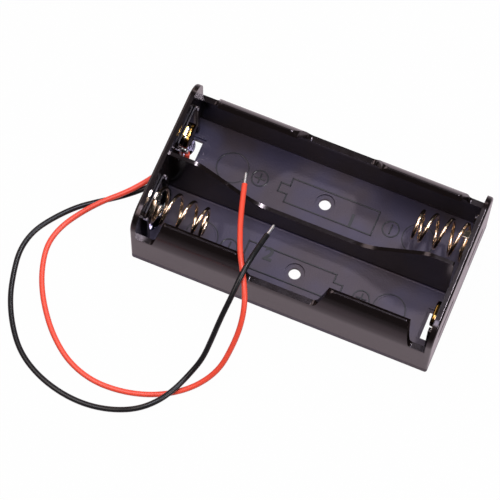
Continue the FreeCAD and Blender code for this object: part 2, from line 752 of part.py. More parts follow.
BLACK_ROUTE = (
    (-35.7, -5.8, 3),
    (-35.6, -1.75, 2.5),
    (-40.2, -1.8, 2.3),
    (-43.6, -4.9, 1.2),
    (-47.6, -8.2, 0.8),
    (-51.6, -11.0, 0.7),
    (-55.8, -14.3, 0.7),
    (-59.9, -19.2, 0.7),
    (-63.0, -24.3, 0.7),
    (-64.0, -30.0, 0.7),
    (-62.9, -36.0, 0.7),
    (-61.0, -42.3, 0.7),
    (-57.5, -48.6, 0.7),
    (-52.9, -54.0, 0.7),
    (-46.8, -57.6, 0.7),
    (-39.9, -59.6, 0.7),
    (-33.1, -60.0, 0.7),
    (-26.8, -58.8, 0.9),
    (-21.1, -56.9, 3.1),
    (-17.3, -53.3, 3.4),
    (-14.9, -48.9, 3.0),
    (-13.1, -44.4, 3.6),
    (-11.3, -40.4, 6.4),
    (-10.6, -36.5, 11.0),
    (-10.0, -32.5, 16.0),
    (-9.2, -27.9, 20.2),
    (-8.8, -22.4, 22.6),
    (-8.2, -16.4, 22.2),
    (-7.4, -10.4, 20.4),
)


def smooth_path(route):
    """Straight runs joined by tangent arcs, each as large as its two runs allow."""
    points = [Vector(*point) for point in route]
    edges, radii = [], []
    here = points[0]
    for before, corner, after in zip(points, points[1:], points[2:]):
        back = (before - corner).normalize()
        forward = (after - corner).normalize()
        half_turn = (math.pi - back.getAngle(forward)) / 2
        shorter = min((before - corner).Length, (after - corner).Length)
        trim = 0.45 * shorter
        radius = trim / math.tan(half_turn)
        arc_start = corner + back * trim
        arc_end = corner + forward * trim
        inward = (back + forward).normalize()
        arc_middle = corner + inward * (radius / math.cos(half_turn) - radius)
        edges.append(Part.LineSegment(here, arc_start).toShape())
        edges.append(Part.Arc(arc_start, arc_middle, arc_end).toShape())
        radii.append(radius)
        here = arc_end
    edges.append(Part.LineSegment(here, points[-1]).toShape())
    return Part.Wire(edges), radii


def tube(path, diameter):
    """Round rod along a path, with its volume compared with section times length."""
    start = path.Edges[0].firstVertex().Point
    direction = path.Edges[0].tangentAt(path.Edges[0].FirstParameter)
    section = Part.Wire([Part.Circle(start, direction, diameter / 2).toShape()])
    rod = path.makePipeShell([section], True, True)
    expected = math.pi * (diameter / 2) ** 2 * path.Length
    if abs(rod.Volume / expected - 1) > 0.01:
        raise ValueError("tube volume is off: %.3f against %.3f" % (rod.Volume, expected))
    return rod


def add_solid(label, shape):
    feature = doc.addObject("Part::Feature", label)
    feature.Label = label
    feature.Shape = shape


def bare_end(point, neighbour, length):
    """Bare conductor that carries on past the end of a lead's insulation, and its far end."""
    end = Vector(*point)
    direction = (end - Vector(*neighbour)).normalize()
    tip = end + direction * length
    path = Part.Wire([Part.LineSegment(end, tip).toShape()])
    return tube(path, size("Sizes.conductor_diameter")), tip


def build_lead(colour, route):
    """Insulated lead, the bare conductor at both of its ends, and its joint on the contact plate."""
    path, radii = smooth_path(route)
    bends = ", ".join("%.1f" % radius for radius in radii)
    print("%s lead: %.1f mm long, bends of %s mm" % (colour, path.Length, bends))
    add_solid(colour + "_lead", tube(path, size("Sizes.lead_diameter")))
    outer_rod = bare_end(route[-1], route[-2], size("Sizes.bare_end_length"))[0]
    inner_rod, inner_tip = bare_end(route[0], route[1], size("Sizes.soldered_end_length"))
    add_solid(colour + "_conductor", Part.makeCompound([outer_rod, inner_rod]))
    joint_radius = size("Sizes.solder_radius")
    joint = Vector(-size(PLATE_FRONT), inner_tip.y, inner_tip.z)
    ball = Part.makeSphere(joint_radius, joint)
    reach = joint_radius * 2
    bay_side_block = Part.makeBox(reach, 2 * reach, 2 * reach, joint - Vector(0, reach, reach))
    add_solid(colour + "_solder_joint", ball.common(bay_side_block).cut(inner_rod))


build_housing()
build_contact("positive_contact_plate", -1, button_bay=1)
build_contact("negative_contact_plate", -1, spring_bay=-1)
build_contact("series_bridge_plate", 1, button_bay=-1, spring_bay=1)
build_spring("back_bay_spring", 1, 1, size("Sizes.back_spring_phase"))
build_spring("front_bay_spring", -1, -1, size("Sizes.front_spring_phase"))
build_lead("red", RED_ROUTE)
build_lead("black", BLACK_ROUTE)
doc.recompute()

NODES = (
    "housing",
    "positive_contact_plate",
    "negative_contact_plate",
    "series_bridge_plate",
    "back_bay_spring",
    "front_bay_spring",
    "red_lead",
    "red_conductor",
    "red_solder_joint",
    "black_lead",
    "black_conductor",
    "black_solder_joint",
)

for item in doc.Objects:
    if "Invalid" in item.State or "Error" in item.State:
        raise ValueError(item.Label + " did not recompute")

os.makedirs("parts", exist_ok=True)
for label in NODES:
    node = doc.getObjectsByLabel(label)[0]
    if node.Shape.isNull() or not node.Shape.isValid():
        raise ValueError(label + " has no valid shape")
    node.Shape.exportStep("parts/%s.step" % label)
    print("%-24s %10.2f mm3, %d solids" % (label, node.Shape.Volume, len(node.Shape.Solids)))
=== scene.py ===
import math

import bmesh
import bpy
from bpy.props import FloatProperty, FloatVectorProperty, IntProperty, PointerProperty
from mathutils import Matrix, Vector


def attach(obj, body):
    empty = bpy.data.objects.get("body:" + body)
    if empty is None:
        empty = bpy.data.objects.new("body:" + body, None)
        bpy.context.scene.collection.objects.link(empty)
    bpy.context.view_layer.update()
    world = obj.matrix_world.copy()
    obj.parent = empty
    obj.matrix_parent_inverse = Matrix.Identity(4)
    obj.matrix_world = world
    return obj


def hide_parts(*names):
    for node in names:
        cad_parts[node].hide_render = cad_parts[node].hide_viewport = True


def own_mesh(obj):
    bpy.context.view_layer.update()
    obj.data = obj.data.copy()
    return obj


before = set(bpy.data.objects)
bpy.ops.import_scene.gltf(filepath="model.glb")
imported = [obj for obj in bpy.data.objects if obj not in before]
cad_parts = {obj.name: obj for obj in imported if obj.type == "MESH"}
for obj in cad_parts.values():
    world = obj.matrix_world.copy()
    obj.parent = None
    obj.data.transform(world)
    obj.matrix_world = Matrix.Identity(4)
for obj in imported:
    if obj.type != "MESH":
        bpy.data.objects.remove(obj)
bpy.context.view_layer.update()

bl_info = {
    "name": "Cylindrical Cell Holder",
    "version": (1, 0, 0),
    "blender": (4, 5, 0),
    "location": "3D View > Sidebar > Cell Holder",
    "description": "Finishes a two-bay cell holder, with its springs, contact plates and leads",
    "category": "Object",
}

MM = 0.001
HOLDER = "holder"

# Places on the solids of the model that the finishing pieces sit on, in metres
FLOOR_TOP = 1.6 * MM
BAY_MIDDLE = 9.85 * MM
CELL_AXIS_HEIGHT = 10.8 * MM
PLATE_FACE = 36.5 * MM
PLATE_CUT_EDGE = 16.7 * MM
BUTTON_RADIUS = 3.2 * MM
FOOT_HEIGHT = 2.6 * MM
TEXTURED_HEIGHT = 1.75 * MM
DIMPLE_PLACE = 24.5 * MM

# Marks on the floor of the back bay, in millimetres. The front bay has them turned half round,
# apart from its number, which stays upright.
CELL_OUTLINE = (
    (-12.0, 8.5), (-9.6, 8.5), (-9.6, 6.35), (13.3, 6.35),
    (13.3, 13.0), (-9.6, 13.0), (-9.6, 10.9), (-12.0, 10.9),
)
SIGN_ROW = 9.8
PLUS_PLACE = -17.25
MINUS_PLACE = 17.3
SIGN_STROKE = 1.2
SIGN_RADIUS = 2.05
DIGIT_PLACE = (7.6, 8.0)

# Turn of the wire about a spring's axis, where it starts on the plate, and of each spring as a whole
WIRE_START = math.radians(72)
BACK_SPRING_TURN = 0.0
FRONT_SPRING_TURN = math.radians(178)
SPRING_SEAT_GAP = 0.04 * MM

# Points that the leads lie along, in millimetres, from the joint on the contact plate to the bare end
RED_ROUTE = (
    (-35.7, 7.5, 5.4),
    (-35.6, 7.4, 2.4),
    (-35.6, 1.75, 2.5),
    (-40.2, 1.7, 2.5),
    (-42.6, -2.8, 3.1),
    (-45.9, -7.2, 3.2),
    (-50.2, -11.3, 2.9),
    (-54.2, -15.8, 1.6),
    (-57.3, -20.7, 0.7),
    (-58.4, -25.9, 0.7),
    (-57.4, -31.1, 0.7),
    (-55.4, -36.2, 0.7),
    (-52.2, -41.4, 0.7),
    (-47.6, -46.9, 0.7),
    (-41.5, -51.6, 0.7),
    (-34.5, -53.9, 0.7),
    (-27.5, -53.8, 0.7),
    (-20.9, -52.2, 0.7),
    (-15.0, -49.3, 1.0),
    (-10.1, -45.6, 2.8),
    (-6.6, -41.3, 6.4),
    (-5.4, -36.6, 10.9),
    (-5.0, -32.1, 15.2),
    (-5.9, -27.5, 18.8),
    (-8.3, -22.7, 20.6),
    (-11.3, -17.7, 20.9),
    (-13.7, -12.0, 19.9),
    (-15.9, -5.8, 18.4),
    (-17.8, 0.8, 17.0),
)

BLACK_ROUTE = (
    (-35.7, -5.8, 3),
    (-35.6, -1.75, 2.5),
    (-40.2, -1.8, 2.3),
    (-43.6, -4.9, 1.2),
    (-47.6, -8.2, 0.8),
    (-51.6, -11.0, 0.7),
    (-55.8, -14.3, 0.7),
    (-59.9, -19.2, 0.7),
    (-63.0, -24.3, 0.7),
    (-64.0, -30.0, 0.7),
    (-62.9, -36.0, 0.7),
    (-61.0, -42.3, 0.7),
    (-57.5, -48.6, 0.7),
    (-52.9, -54.0, 0.7),
    (-46.8, -57.6, 0.7),
    (-39.9, -59.6, 0.7),
    (-33.1, -60.0, 0.7),
    (-26.8, -58.8, 0.9),
    (-21.1, -56.9, 3.1),
    (-17.3, -53.3, 3.4),
    (-14.9, -48.9, 3.0),
    (-13.1, -44.4, 3.6),
    (-11.3, -40.4, 6.4),
    (-10.6, -36.5, 11.0),
    (-10.0, -32.5, 16.0),
    (-9.2, -27.9, 20.2),
    (-8.8, -22.4, 22.6),
    (-8.2, -16.4, 22.2),
    (-7.4, -10.4, 20.4),
)

# Real length of each lead and the point where it leaves the holder, in metres
RED_LENGTH, RED_EXIT = 0.1674, (-38.5 * MM, 1.75 * MM, 2.5 * MM)
BLACK_LENGTH, BLACK_EXIT = 0.1635, (-38.5 * MM, -1.75 * MM, 2.5 * MM)

# Colours that the finishes shade into from the main colour of the surface
# Painted reflection of the brown walls, laid in random patches on the bay floors
FLOOR_REFLECTED_BROWN = (0.024, 0.018, 0.024)
# Painted shade on the plates at the lead end, for the shadow of the end wall
PLATE_IN_SHADE = (0.33, 0.29, 0.26)
BUTTON_GOLD = (0.27, 0.155, 0.04)
# Painted shade on the plate feet low in the bays, tinted lavender like the painted floor sheen
FOOT_PAINTED_SHADE = (0.06, 0.055, 0.085)
CUT_GREY = (0.05, 0.045, 0.05)
WORN_RED = (0.86, 0.085, 0.045)
WORN_BLACK = (0.014, 0.014, 0.015)
TIN_BRIGHT, TIN_DULL = (0.93, 0.93, 0.94), (0.72, 0.71, 0.7)
SOLDER_BRIGHT, SOLDER_DULL = (0.8, 0.8, 0.82), (0.6, 0.6, 0.61)
# Painted reflection: what reflections show of the bench, pale pink near the holder and dark far from it
BENCH_NEAR, BENCH_FAR = (1.0, 0.80, 0.88), (0.12, 0.10, 0.10)

# Softboxes, all turned to the origin: name, place and size in metres, power in watts, colour
LAMPS = (
    ("key_softbox", (0.19, 0.35, 0.92), (0.09, 0.09), 3.0, (0.95, 0.95, 1.0)),
    ("overhead", (0.02, 0.0, 1.0), (0.45, 0.45), 4.6, (0.74, 0.78, 1.0)),
    ("upper_left", (-0.2, -0.07, 0.97), (0.5, 0.5), 2.2, (1.0, 0.88, 0.72)),
    ("front_left", (-0.36, -0.43, 0.83), (0.45, 0.45), 2.4, (1.0, 0.84, 0.80)),
    ("low_back", (-0.49, 0.85, 0.21), (0.5, 0.3), 1.0, (1.0, 0.75, 0.6)),
    ("warm_side", (-0.64, 0.345, 0.68), (0.4, 0.4), 1.3, (1.0, 0.88, 0.84)),
    ("back_strip", (-0.13, 0.86, 0.5), (0.3, 0.12), 0.45, (1.0, 0.86, 0.82)),
    ("right_side", (0.75, -0.15, 0.65), (0.3, 0.3), 3.0, (1.0, 1.0, 1.0)),
)
WORLD_STRENGTH = 0.05
BENCH_HALF_SIZE = 3.0
BENCH_DROP = 0.02 * MM

# Point that the camera looks at, in metres, and the width of its sensor, in millimetres
CAMERA_TARGET = (-12.470 * MM, -7.992 * MM, 0.0)
SENSOR_WIDTH = 36.0


# ---------------------------------------------------------------- sizes and colours a user would change


class HousingSettings(bpy.types.PropertyGroup):
    edge_round: FloatProperty(
        name="Edge Rounding", description="Width of the rounding on the moulding's edges",
        default=0.00022, min=0.0, subtype="DISTANCE", unit="LENGTH")
    colour: FloatVectorProperty(
        name="Moulding Colour", description="Colour of the black plastic",
        default=(0.0060, 0.0040, 0.0038), size=3, min=0.0, max=1.0, subtype="COLOR")
    roughness: FloatProperty(
        name="Wall Roughness", description="Roughness of the moulded faces",
        default=0.18, min=0.0, max=1.0, subtype="FACTOR")
    sheen: FloatVectorProperty(
        name="Sheen", description="Tint of what the plastic reflects",
        default=(1.0, 0.86, 0.94), size=3, min=0.0, max=1.0, subtype="COLOR")
    # Colour of the bay floors: the dark plastic with a painted lavender sheen mixed into it
    floor_colour_and_sheen: FloatVectorProperty(
        name="Floor Colour", description="Colour of the textured bay floors",
        default=(0.022, 0.021, 0.048), size=3, min=0.0, max=1.0, subtype="COLOR")
    floor_roughness: FloatProperty(
        name="Floor Roughness", description="Roughness of the textured bay floors",
        default=0.45, min=0.0, max=1.0, subtype="FACTOR")


class MarkSettings(bpy.types.PropertyGroup):
    line_width: FloatProperty(
        name="Line Width", description="Width of the raised lines on the bay floors",
        default=0.00034, min=0.0, subtype="DISTANCE", unit="LENGTH")
    line_rise: FloatProperty(
        name="Line Rise", description="Height of the raised lines above the bay floors",
        default=0.00018, min=0.0, subtype="DISTANCE", unit="LENGTH")
    dimple_radius: FloatProperty(
        name="Dimple Radius", description="Radius of the witness lines round the floor dimples",
        default=0.00402, min=0.0, subtype="DISTANCE", unit="LENGTH")
    digit_height: FloatProperty(
        name="Digit Height", description="Height of the bay numbers",
        default=0.0034, min=0.0, subtype="DISTANCE", unit="LENGTH")


class ContactSettings(bpy.types.PropertyGroup):
    edge_round: FloatProperty(
        name="Edge Rounding", description="Rounding of the stamped edges of the contact plates",
        default=0.00006, min=0.0, subtype="DISTANCE", unit="LENGTH")
    colour: FloatVectorProperty(
        name="Nickel Colour", description="Colour of the plated sheet",
        default=(0.66, 0.60, 0.52), size=3, min=0.0, max=1.0, subtype="COLOR")


class SpringSettings(bpy.types.PropertyGroup):
    wire_diameter: FloatProperty(
        name="Wire Diameter", description="Diameter of the spring wire",
        default=0.0009, min=0.0, subtype="DISTANCE", unit="LENGTH")
    pitch: FloatProperty(
        name="Pitch", description="Distance between two open turns",
        default=0.0039, min=0.0, subtype="DISTANCE", unit="LENGTH")
    tip_pitch: FloatProperty(
        name="Tip Pitch", description="Distance between the closed turns at the tip",
        default=0.00093, min=0.0, subtype="DISTANCE", unit="LENGTH")
    base_radius: FloatProperty(
        name="Base Radius", description="Radius of the coil on the contact plate",
        default=0.0045, min=0.0, subtype="DISTANCE", unit="LENGTH")
    tip_radius: FloatProperty(
        name="Tip Radius", description="Radius of the coil where it meets the cell",
        default=0.00355, min=0.0, subtype="DISTANCE", unit="LENGTH")
    seat_turns: FloatProperty(
        name="Seat Turns", description="Flat turns on the contact plate", default=0.61, min=0.0)
    open_turns: FloatProperty(
        name="Open Turns", description="Turns that give way", default=3.04, min=0.0)
    tip_turns: FloatProperty(
        name="Tip Turns", description="Closed turns at the tip", default=0.92, min=0.0)
    steps_per_turn: IntProperty(
        name="Steps per Turn", description="Points along one turn of the wire", default=40, min=8)
    pressed_share: FloatProperty(
        name="Pressed Share", description="Share of its length that the coil keeps when a cell is in",
        default=0.5, min=0.1, max=1.0, subtype="FACTOR")
    colour: FloatVectorProperty(
        name="Wire Colour", description="Colour of the plated wire",
        default=(0.93, 0.83, 0.72), size=3, min=0.0, max=1.0, subtype="COLOR")


class LeadSettings(bpy.types.PropertyGroup):
    diameter: FloatProperty(
        name="Lead Diameter", description="Diameter of the insulation",
        default=0.00135, min=0.0, subtype="DISTANCE", unit="LENGTH")
    conductor_diameter: FloatProperty(
        name="Conductor Diameter", description="Diameter of the tinned strands",
        default=0.0007, min=0.0, subtype="DISTANCE", unit="LENGTH")
    bare_length: FloatProperty(
        name="Bare Length", description="Length of the stripped end",
        default=0.0035, min=0.0, subtype="DISTANCE", unit="LENGTH")
    soldered_length: FloatProperty(
        name="Soldered Length", description="Length of bare conductor at the contact plate",
        default=0.0016, min=0.0, subtype="DISTANCE", unit="LENGTH")
    red: FloatVectorProperty(
        name="Red Insulation", description="Colour of the positive lead",
        default=(0.80, 0.066, 0.032), size=3, min=0.0, max=1.0, subtype="COLOR")
    black: FloatVectorProperty(
        name="Black Insulation", description="Colour of the negative lead",
        default=(0.007, 0.007, 0.008), size=3, min=0.0, max=1.0, subtype="COLOR")


class StageSettings(bpy.types.PropertyGroup):
    focal_length: FloatProperty(
        name="Focal Length", description="Camera's focal length in millimetres", default=187.08, min=1.0)
    distance: FloatProperty(
        name="Camera Distance", description="Distance from the camera to the point it looks at",
        default=0.633336, min=0.01, subtype="DISTANCE", unit="LENGTH")
    azimuth: FloatProperty(
        name="Azimuth", description="Turn of the camera round the object",
        default=math.radians(20.3488), subtype="ANGLE", unit="ROTATION")
    elevation: FloatProperty(
        name="Elevation", description="Angle of the camera above the bench",
        default=math.radians(68.4345), subtype="ANGLE", unit="ROTATION")
    roll: FloatProperty(
        name="Roll", description="Turn of the camera about its own line of sight",
        default=math.radians(2.4015), subtype="ANGLE", unit="ROTATION")
    bench_colour: FloatVectorProperty(
        name="Bench Colour", description="Colour of the pale bench",
        default=(0.4, 0.4, 0.4), size=3, min=0.0, max=1.0, subtype="COLOR")


# ---------------------------------------------------------------- materials


class Amount:
    """A number that varies over a surface. Arithmetic on it adds Math nodes."""

    def __init__(self, finish, socket):
        self.finish = finish
        self.socket = socket

    def _math(self, operation, first, second):
        return self.finish.node("ShaderNodeMath", {"operation": operation}, {0: first, 1: second})

    def __add__(self, other):
        return self._math("ADD", self, other)

    def __sub__(self, other):
        return self._math("SUBTRACT", self, other)

    def __mul__(self, other):
        return self._math("MULTIPLY", self, other)

    def __rsub__(self, other):
        return self._math("SUBTRACT", other, self)

    __radd__ = __add__
    __rmul__ = __mul__


class Finish:
    """Material of one surface, built up from nodes."""

    def __init__(self, name):
        self.material = bpy.data.materials.new(name)
        self.material.use_nodes = True
        self.tree = self.material.node_tree
        self.tree.nodes.clear()

    def node(self, kind, settings=None, values=None, output=0):
        """Adds a node: first its settings, then the values or links of its sockets."""
        made = self.tree.nodes.new(kind)
        for key, value in (settings or {}).items():
            setattr(made, key, value)
        for key, value in (values or {}).items():
            if isinstance(value, Amount):
                self.tree.links.new(value.socket, made.inputs[key])
            else:
                made.inputs[key].default_value = value
        return Amount(self, made.outputs[output])

    def place(self):
        """Where a point lies on the piece, in the holder's own frame."""
        return self.node("ShaderNodeTexCoord", output="Object")

    def clouds(self, scale, detail=3.0, stretch=None):
        """Soft noise of the given scale, stretched along the axes if asked."""
        where = self.place()
        if stretch:
            where = self.node("ShaderNodeMapping", {}, {"Vector": where, "Scale": stretch})
        return self.node("ShaderNodeTexNoise", {}, {"Vector": where, "Scale": scale, "Detail": detail})

    def axis(self, number):
        """Place of a point along X, Y or Z."""
        return self.node("ShaderNodeSeparateXYZ", {}, {"Vector": self.place()}, output=number)

    def without_sign(self, amount):
        return self.node("ShaderNodeMath", {"operation": "ABSOLUTE"}, {0: amount})

    def between(self, amount, start, stop):
        """0 where the amount is at the start or before it, 1 at the stop or past it."""
        return self.node("ShaderNodeMapRange", {"interpolation_type": "SMOOTHSTEP", "clamp": True}, {
            "Value": amount, "From Min": start, "From Max": stop, "To Min": 0.0, "To Max": 1.0})

    def near_cell_axis(self, outer, inner):
        """1 within the inner radius of a bay's cell axis, 0 past the outer radius."""
        across = self.without_sign(self.axis(1)) - BAY_MIDDLE
        above = self.axis(2) - CELL_AXIS_HEIGHT
        return self.between(across * across + above * above, outer * outer, inner * inner)

    def bay_floor(self):
        """1 on the textured floors of the bays, 0 on the polished walls above them."""
        return self.between(self.axis(2), TEXTURED_HEIGHT + 0.35 * MM, TEXTURED_HEIGHT)

    def tint(self, amount, first, second):
        """Colour between two, by an amount."""
        ends = [end if isinstance(end, Amount) else tuple(end) + (1.0,) for end in (first, second)]
        return self.node("ShaderNodeMix", {"data_type": "RGBA"}, {0: amount, 6: ends[0], 7: ends[1]},
                         output=2)

    def bump(self, height, distance, strength):
        """Normals that follow a height from 0 to 1, which stands for this distance in metres."""
        return self.node("ShaderNodeBump", {}, {
            "Height": height, "Distance": distance, "Strength": strength})

    def surface(self, values):
        """Ends the material in one Principled shader with these inputs."""
        return self.end_in(self.node("ShaderNodeBsdfPrincipled", {}, values))

    def end_in(self, shader):
        """Ends the material in this shader."""
        output = self.tree.nodes.new("ShaderNodeOutputMaterial")
        self.tree.links.new(shader.socket, output.inputs["Surface"])
        return self.material


def black_moulding(settings):
    """Glossy injection-moulded plastic with a faint ripple and soft handling marks, with a painted
    lavender sheen and patches of painted brown wall reflection on the bay floors.
    """
    finish = Finish("black_moulding")
    ripple = finish.clouds(140.0, 2.0)
    handling = finish.clouds(520.0, 4.0, (1.0, 0.35, 1.0))
    scuffs = finish.clouds(1900.0, 3.0, (0.12, 1.0, 1.0))
    grain = finish.clouds(2600.0, 3.0)
    floor = finish.bay_floor()
    # Painted brown reflection of the walls, in random patches on the floors
    reflection_patches = finish.between(finish.clouds(75.0, 2.0), 0.38, 0.66)
    # Floors: the painted lavender sheen, turning to the painted brown reflection where the patches show
    textured = finish.tint(reflection_patches, settings.floor_colour_and_sheen, FLOOR_REFLECTED_BROWN)
    return finish.surface({
        "Base Color": finish.tint(floor, settings.colour, textured),
        "Roughness": (handling * 0.1 + scuffs * 0.05 + (settings.roughness - 0.07)
                      + floor * (settings.floor_roughness - settings.roughness)),
        "Specular Tint": settings.sheen[:] + (1.0,),
        "Normal": finish.bump(ripple * 0.7 + handling * 0.05 + floor * grain * 0.75, 0.12 * MM, 0.35),
    })


def nickel_sheet(settings):
    """Bright plated sheet with fine rolling lines, warm tarnish, golden buttons and dull cut edges, with
    painted shade on the plates at the lead end and on their feet.
    """
    finish = Finish("nickel_sheet")
    rolling = finish.clouds(900.0, 3.0, (1.0, 0.06, 1.0))
    tarnish = finish.clouds(260.0, 3.0)
    colour = settings.colour
    warm = (colour[0], colour[1] * 0.88, colour[2] * 0.72)
    # Painted shade: the plates at the lead end are painted darker, for the shade of the end wall
    shaded_lead_end = finish.between(finish.axis(0), 20 * MM, -20 * MM)
    sheet = finish.tint(shaded_lead_end, finish.tint(tarnish, colour, warm), PLATE_IN_SHADE)
    from_middle = finish.without_sign(finish.axis(0))
    raised = finish.between(from_middle, PLATE_FACE - 0.2 * MM, PLATE_FACE - 0.35 * MM)
    button = raised * finish.near_cell_axis(BUTTON_RADIUS + 0.4 * MM, BUTTON_RADIUS)
    # Painted shade on the feet, low in the bays
    shaded_foot = finish.between(finish.axis(2), FOOT_HEIGHT + 1 * MM, FOOT_HEIGHT)
    cut = finish.between(finish.axis(2), PLATE_CUT_EDGE - 0.1 * MM, PLATE_CUT_EDGE)
    with_button = finish.tint(button, sheet, BUTTON_GOLD)
    with_foot_shade = finish.tint(shaded_foot, with_button, FOOT_PAINTED_SHADE)
    return finish.surface({
        "Base Color": finish.tint(cut, with_foot_shade, CUT_GREY),
        "Metallic": 1.0,
        "Roughness": rolling * 0.06 + 0.05 + cut * 0.35,
        "Normal": finish.bump(rolling, 0.02 * MM, 0.2),
    })


def spring_wire(settings):
    """Plated music wire, drawn smooth, with warm tarnish between the bright places."""
    finish = Finish("spring_wire")
    tarnish = finish.clouds(420.0, 3.0)
    colour = settings.colour
    warm = (colour[0] * 0.96, colour[1] * 0.74, colour[2] * 0.5)
    return finish.surface({
        "Base Color": finish.tint(tarnish, colour, warm),
        "Metallic": 1.0,
        "Roughness": tarnish * 0.08 + 0.15,
    })


def insulation(name, colour, worn, roughness, shine):
    """Extruded plastic insulation, satin, with a faint unevenness along it."""
    finish = Finish(name)
    waves = finish.clouds(900.0, 3.0)
    return finish.surface({
        "Base Color": finish.tint(waves, colour, worn),
        "Roughness": waves * 0.12 + (roughness - 0.06),
        "Specular IOR Level": shine,
        "Normal": finish.bump(waves, 0.01 * MM, 0.3),
    })


def tinned_strands():
    """Tinned copper strands, bright with a dull film in the grooves."""
    finish = Finish("tinned_strands")
    film = finish.clouds(1500.0, 3.0)
    return finish.surface({
        "Base Color": finish.tint(film, TIN_BRIGHT, TIN_DULL),
        "Metallic": 1.0,
        "Roughness": film * 0.15 + 0.4,
    })


def solder_metal():
    """Solder that has set with a lightly frosted skin."""
    finish = Finish("solder")
    frost = finish.clouds(2200.0, 4.0)
    return finish.surface({
        "Base Color": finish.tint(frost, SOLDER_BRIGHT, SOLDER_DULL),
        "Metallic": 1.0,
        "Roughness": frost * 0.2 + 0.18,
        "Normal": finish.bump(frost, 0.03 * MM, 0.4),
    })


def bench_white(colour):
    """Pale bench that looks white and still takes a shadow.

    It is white to the camera; in reflections it shows a painted reflection, pale pink near the holder and
    darker far from it.
    """
    finish = Finish("bench_white")
    light_path = finish.tree.nodes.new("ShaderNodeLightPath")
    seen = Amount(finish, light_path.outputs["Is Camera Ray"])
    glossy = Amount(finish, light_path.outputs["Is Glossy Ray"])
    through = Amount(finish, light_path.outputs["Is Transmission Ray"])
    white_share, mirrored_share = 0.985, 0.54
    far, close = 0.11, 0.035
    along, across = finish.axis(0) * 0.55, finish.axis(1)
    near = finish.between(along * along + across * across, far ** 2, close ** 2)
    matte = finish.node("ShaderNodeBsdfDiffuse", {}, {"Color": tuple(colour) + (1.0,)})
    mirrored = finish.node("ShaderNodeEmission", {}, {
        "Color": finish.tint(near, BENCH_FAR, BENCH_NEAR), "Strength": 1.0})
    white = finish.node("ShaderNodeEmission", {}, {"Color": (1.0, 1.0, 1.0, 1.0), "Strength": 1.0})
    unseen = finish.node("ShaderNodeMixShader", {}, {0: glossy * mirrored_share, 1: matte, 2: mirrored})
    return finish.end_in(finish.node("ShaderNodeMixShader", {}, {
        0: (seen + through) * white_share, 1: unseen, 2: white}))


# ---------------------------------------------------------------- making pieces


def add_piece(name, data, material, body=None):
    """New object at the origin, with its material, riding on a body of the model."""
    piece = bpy.data.objects.new(name, data)
    bpy.context.scene.collection.objects.link(piece)
    data.materials.append(material)
    if body:
        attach(piece, body)
    return piece


def mesh_from(bm, name, smooth=True):
    """Ends a bmesh as a mesh, with smooth faces if asked."""
    for face in bm.faces:
        face.smooth = smooth
    data = bpy.data.meshes.new(name)
    bm.to_mesh(data)
    bm.free()
    return data


def soften_node(node_name, name, edge_round, material):
    """Copy of a solid of the model with its facets merged and its edges rounded."""
    facet_angle, sharp_angle = math.radians(0.6), math.radians(32)
    bm = bmesh.new()
    bm.from_mesh(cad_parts[node_name].data)
    bmesh.ops.remove_doubles(bm, verts=bm.verts, dist=1e-6)
    bmesh.ops.dissolve_limit(bm, angle_limit=facet_angle, use_dissolve_boundaries=False,
                             verts=bm.verts, edges=bm.edges)
    sharp = [edge for edge in bm.edges
             if len(edge.link_faces) == 2 and edge.calc_face_angle(0.0) > sharp_angle]
    bmesh.ops.bevel(bm, geom=sharp, offset=edge_round, offset_type="OFFSET", segments=2,
                    profile=0.5, affect="EDGES", material=-1, clamp_overlap=True, loop_slide=True)
    piece = add_piece(name, mesh_from(bm, name), material, HOLDER)
    even = piece.modifiers.new("EvenShading", "WEIGHTED_NORMAL")
    even.keep_sharp = True
    even.weight = 80
    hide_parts(node_name)


def curve_mesh(name, curve):
    """Mesh of a curve or a text, which is then taken away."""
    curve_object = bpy.data.objects.new(name, curve)
    bpy.context.scene.collection.objects.link(curve_object)
    bpy.context.view_layer.update()
    shown = curve_object.evaluated_get(bpy.context.evaluated_depsgraph_get())
    data = bpy.data.meshes.new_from_object(shown)
    data.name = name
    bpy.data.objects.remove(curve_object)
    bpy.data.curves.remove(curve)
    return data


def nurbs_line(name, points, thickness, resolution):
    """Smooth round line that follows its control points."""
    curve = bpy.data.curves.new(name, "CURVE")
    curve.dimensions = "3D"
    curve.bevel_depth = thickness / 2
    curve.bevel_resolution = 6
    curve.resolution_u = resolution
    curve.use_fill_caps = True
    spline = curve.splines.new("NURBS")
    spline.points.add(len(points) - 1)
    for control, point in zip(spline.points, points):
        control.co = tuple(point) + (1.0,)
    spline.order_u = 3
    spline.use_endpoint_u = True
    return curve


# ---------------------------------------------------------------- raised marks on the bay floors


def raise_line(bm, corners, closed, width, rise):
    """Flat-topped rib along straight runs on the floor."""
    ends = corners[1:] + corners[:1] if closed else corners[1:]
    for start, finish in zip(corners, ends):
        start, finish = Vector(start), Vector(finish)
        run, middle = finish - start, (start + finish) / 2
        place = (Matrix.Translation((middle.x, middle.y, FLOOR_TOP + rise / 2))
                 @ Matrix.Rotation(math.atan2(run.y, run.x), 4, "Z")
                 @ Matrix.Diagonal((run.length + width, width, rise * 2, 1.0)))
        made = bmesh.ops.create_cube(bm, size=1.0, matrix=place)
        top = [edge for vert in made["verts"] for edge in vert.link_edges
               if all(end.co.z > FLOOR_TOP + rise for end in edge.verts)]
        bmesh.ops.bevel(bm, geom=list(dict.fromkeys(top)), offset=width * 0.3, offset_type="OFFSET",
                        segments=2, profile=0.5, affect="EDGES", material=-1)


